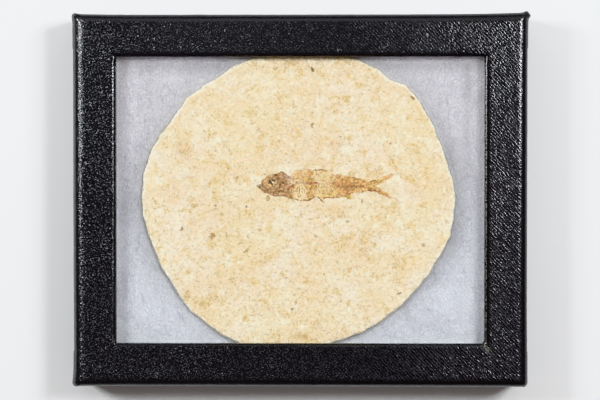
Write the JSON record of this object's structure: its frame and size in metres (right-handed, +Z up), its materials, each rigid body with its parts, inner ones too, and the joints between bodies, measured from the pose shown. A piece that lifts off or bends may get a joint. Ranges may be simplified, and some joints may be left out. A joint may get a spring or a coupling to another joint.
{
  "type": "fossil fish slab in a glass-topped display case",
  "caption": "Round limestone slab with a small fossil fish in low relief, bedded on white batting in a shallow black leatherette case with a glass window.",
  "frame": {"origin": "middle of the flat underside of the tray, which is the middle of the case's bounding box at its lowest level", "axes": "+X along the long side of the case, towards the fish's tail; +Y along the short side, towards the fish's back; +Z up out of the glass"},
  "size_m": [0.1552, 0.127, 0.019],
  "materials": {
    "leatherette": "satin",
    "greyboard": "matte",
    "glass": "polished",
    "gummed_tape": "matte",
    "batting": "matte",
    "limestone": "matte",
    "pin_steel": "polished"
  },
  "bodies": {
    "root": {"lid_board": "greyboard", "lid_cover": "leatherette", "glass_pane": "glass", "glass_tape_back": "gummed_tape", "glass_tape_front": "gummed_tape", "glass_tape_left": "gummed_tape", "glass_tape_right": "gummed_tape", "tray_board": "greyboard", "tray_cover": "leatherette", "batting": "batting", "limestone_slab": "limestone", "pin_left": "pin_steel", "pin_right": "pin_steel"}
  },
  "joints": []
}
